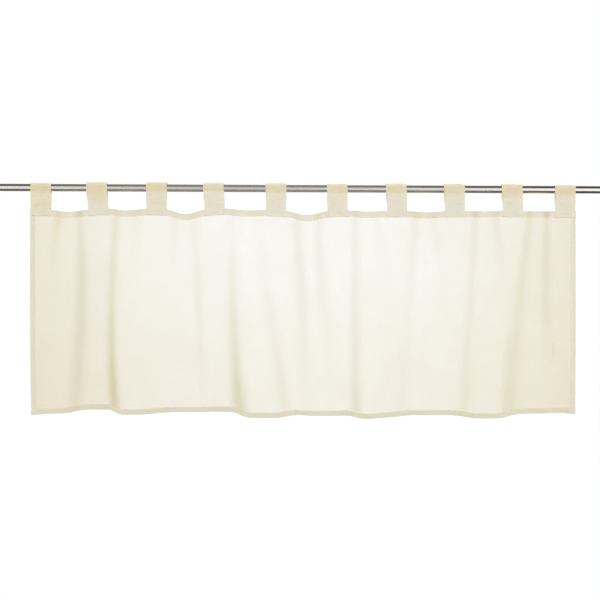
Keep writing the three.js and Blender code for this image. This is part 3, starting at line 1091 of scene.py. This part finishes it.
def studio_light(world):
    """White backdrop with a soft glow behind the cloth and even light all round it.

    The rod's gloss shows a pale band in front, brighter at the sides, and a fainter one behind. Above
    and below it is darker.
    """
    world.use_nodes = True
    finish = Finish(world.node_tree)
    towards = finish.node("ShaderNodeTexCoord", None, None, "Generated")
    x = finish.node("ShaderNodeSeparateXYZ", None, {"Vector": towards})
    y, z = x.other("Y"), x.other("Z")
    aside = abs(x + GLOW_LEAN * z) / GLOW_HALF_WIDTH
    below = 0 - z
    lower = below.eased(*GLOW_WEAKENS)
    glow = (1 - aside ** GLOW_POWER) * (1 - GLOW_SHARE_LOST * lower) - GLOW_LOST * lower
    glow = glow.at_least(0) * below.eased(*GLOW_STARTS) * y.eased(*GLOW_BEHIND)
    backdrop = finish.blend(glow, BACKDROP_LIGHT, GLOW_LIGHT)
    side = abs(x - GLOSS_MIDDLE).eased(*GLOSS_STARTS) * (1 - abs(x).eased(*GLOSS_ENDS))
    level = (1 - abs(z).eased(*BAND_ENDS)) * (1 - BAND_LOST * y.eased(*BAND_BEHIND))
    band = finish.blend(side, BAND_MIDDLE, BAND_SIDES)
    beyond = finish.blend(side, BEYOND_MIDDLE, BEYOND_SIDES)
    mirrored = finish.blend(level, beyond, band)
    seen = finish.node("ShaderNodeLightPath", None, None, "Is Camera Ray")
    room = finish.blend(seen.other("Is Glossy Ray"), ROOM_LIGHT, mirrored)
    light = finish.node("ShaderNodeBackground", None, {"Color": finish.blend(seen, room, backdrop)})
    finish.node("ShaderNodeOutputWorld", None, {"Surface": light})


def add_softbox(name, place, aim, size, watts):
    """A large soft lamp that lights the cloth and stays out of the view and of the rod's gloss."""
    lamp = bpy.data.lights.new(name, "AREA")
    lamp.shape = "SQUARE"
    lamp.size = size
    lamp.energy = watts
    softbox = bpy.data.objects.new(name, lamp)
    softbox.location = place
    softbox.rotation_euler = (Vector(aim) - Vector(place)).to_track_quat("-Z", "Y").to_euler()
    softbox.visible_camera = False
    softbox.visible_glossy = False
    bpy.context.scene.collection.objects.link(softbox)


def floor_surface(level, radius):
    """A square grid bent to a disc: x = u * sqrt(1 - v^2 / 2), y = v * sqrt(1 - u^2 / 2)."""
    even = np.linspace(-1, 1, FLOOR_STATIONS)
    u, v = np.meshgrid(even, -even)
    x, y = u * np.sqrt(1 - v * v / 2), v * np.sqrt(1 - u * u / 2)
    return np.stack([radius * x, radius * y, np.full_like(x, level)], -1)


class CURTAIN_OT_add_rod(bpy.types.Operator):
    """Adds the brushed steel rod"""

    bl_idname = "curtain.add_rod"
    bl_label = "Add rod"

    def execute(self, context):
        points = rod_surface(context.scene.curtain_sizes)
        rows, sides = points.shape[:2]
        first, last = np.arange(sides)[::-1], np.arange(sides) + (rows - 1) * sides
        half = sides // 2
        faces = [grid_faces(rows, sides, closed=True)]
        for ring in (first, last):
            near, far = ring[:half], ring[half:][::-1]
            faces.append(np.stack([near[:-1], near[1:], far[1:], far[:-1]], 1))
        mesh = mesh_from("steel_rod", points.reshape(-1, 3), np.concatenate(faces))
        add_piece("steel_rod", mesh, steel_finish(context.scene.curtain_colours), "rod_steel", "rod")
        return {"FINISHED"}


class CURTAIN_OT_add_stitching(bpy.types.Operator):
    """Adds the stitches of the heading, the hems and the tabs"""

    bl_idname = "curtain.add_stitching"
    bl_label = "Add stitching"

    def execute(self, context):
        sizes = context.scene.curtain_sizes
        hung = HungCloth(sizes)
        loops = [TabLoop(sizes, order) for order in range(len(TABS["centre"]))]
        finish = thread_finish(context.scene.curtain_colours)
        for name, sewn, slot in (
            ("heading_stitches", heading_stitches(hung), "cloth"),
            ("hem_stitches", hem_stitches(hung), "cloth"),
            ("tab_stitches", tab_stitches(loops), "tab_cloth"),
        ):
            add_piece(name, mesh_from(name, *sewn), finish, slot)
        return {"FINISHED"}


class CURTAIN_OT_add_panel(bpy.types.Operator):
    """Adds the sheer hemmed panel in its folds"""

    bl_idname = "curtain.add_panel"
    bl_label = "Add panel"

    def execute(self, context):
        sizes, colours = context.scene.curtain_sizes, context.scene.curtain_colours
        # The hem's shade is painted lighter, and the palest one paints light on the right hem and the
        # corners.
        shades = (colours.cloth, colours.hem, colours.painted_light_hem)
        covers = (colours.panel_cover, colours.hem_cover)
        finish = voile_finish("sheer_voile", sizes, shades, covers, PANEL_PATCH, PANEL_UNEVEN)
        points, tone = panel_sheet(HungCloth(sizes))
        panel = add_sheet("voile_panel", points, tone, sizes.cloth_thickness, finish, "cloth", "panel")
        return {"FINISHED"}


class CURTAIN_OT_add_tabs(bpy.types.Operator):
    """Adds the ten tabs that loop over the rod"""

    bl_idname = "curtain.add_tabs"
    bl_label = "Add tabs"

    def execute(self, context):
        sizes, colours = context.scene.curtain_sizes, context.scene.curtain_colours
        # Past the tab's own cream, the shades are painted shade of the rod.
        shades = (colours.tab, colours.tab_rod_shade, colours.darker_tab_rod_shade)
        covers = (colours.tab_cover, colours.tab_cover)
        finish = voile_finish("doubled_voile", sizes, shades, covers, TAB_PATCH, TAB_UNEVEN)
        for order in range(len(TABS["centre"])):
            loop = TabLoop(sizes, order)
            number = f"{order + 1:02d}"
            tab = add_sheet(f"voile_tab_{number}", *tab_sheet(loop), sizes.cloth_thickness, finish,
                            "tab_cloth", f"tab_{number}")
        return {"FINISHED"}


class CURTAIN_OT_set_stage(bpy.types.Operator):
    """Sets the floor, the soft studio light and the camera"""

    bl_idname = "curtain.set_stage"
    bl_label = "Set stage"

    def execute(self, context):
        scene = context.scene
        points = floor_surface(FLOOR_LEVEL, FLOOR_RADIUS)
        mesh = mesh_from("floor", points.reshape(-1, 3), grid_faces(*points.shape[:2]))
        mesh.materials.append(floor_finish(scene.curtain_colours))
        floor = bpy.data.objects.new("floor", mesh)
        scene.collection.objects.link(floor)
        floor.visible_glossy = False

        scene.world = bpy.data.worlds.new("studio")
        studio_light(scene.world)
        for name, aside in (("softbox_left", -SOFTBOX_ASIDE), ("softbox_right", SOFTBOX_ASIDE)):
            add_softbox(name, (aside, *SOFTBOX_PLACE), SOFTBOX_AIM, SOFTBOX_SIZE, SOFTBOX_WATTS)
        scene.view_settings.view_transform = "Standard"
        scene.cycles.transparent_max_bounces = SHEER_BOUNCES

        lens = bpy.data.cameras.new("camera")
        lens.sensor_width = SENSOR_WIDTH
        lens.lens = LENS
        lens.shift_y = LENS_SHIFT
        camera = bpy.data.objects.new("camera", lens)
        camera.location = CAMERA_PLACE
        camera.rotation_euler = (math.pi / 2, CAMERA_ROLL, 0)
        scene.collection.objects.link(camera)
        scene.camera = camera
        return {"FINISHED"}


class CURTAIN_PT_sidebar(bpy.types.Panel):
    """Lists the curtain's operators and sizes"""

    bl_idname = "CURTAIN_PT_sidebar"
    bl_label = "Cafe curtain"
    bl_space_type = "VIEW_3D"
    bl_region_type = "UI"
    bl_category = "Curtain"

    def draw(self, context):
        layout = self.layout
        for operator in OPERATORS:
            layout.operator(operator.bl_idname)
        for group in (context.scene.curtain_sizes, context.scene.curtain_colours):
            for name in group.__annotations__:
                layout.prop(group, name)


OPERATORS = (
    CURTAIN_OT_add_rod,
    CURTAIN_OT_add_stitching,
    CURTAIN_OT_add_panel,
    CURTAIN_OT_add_tabs,
    CURTAIN_OT_set_stage,
)
CLASSES = (CurtainSizes, CurtainColours, *OPERATORS, CURTAIN_PT_sidebar)


def register():
    for made in CLASSES:
        bpy.utils.register_class(made)
    bpy.types.Scene.curtain_sizes = PointerProperty(type=CurtainSizes)
    bpy.types.Scene.curtain_colours = PointerProperty(type=CurtainColours)


def unregister():
    del bpy.types.Scene.curtain_colours
    del bpy.types.Scene.curtain_sizes
    for made in reversed(CLASSES):
        bpy.utils.unregister_class(made)


def main():
    """Adds every piece in order."""
    register()
    bpy.ops.curtain.add_rod()
    bpy.ops.curtain.add_stitching()
    bpy.ops.curtain.add_panel()
    bpy.ops.curtain.add_tabs()
    bpy.ops.curtain.set_stage()


if __name__ == "__main__":
    main()
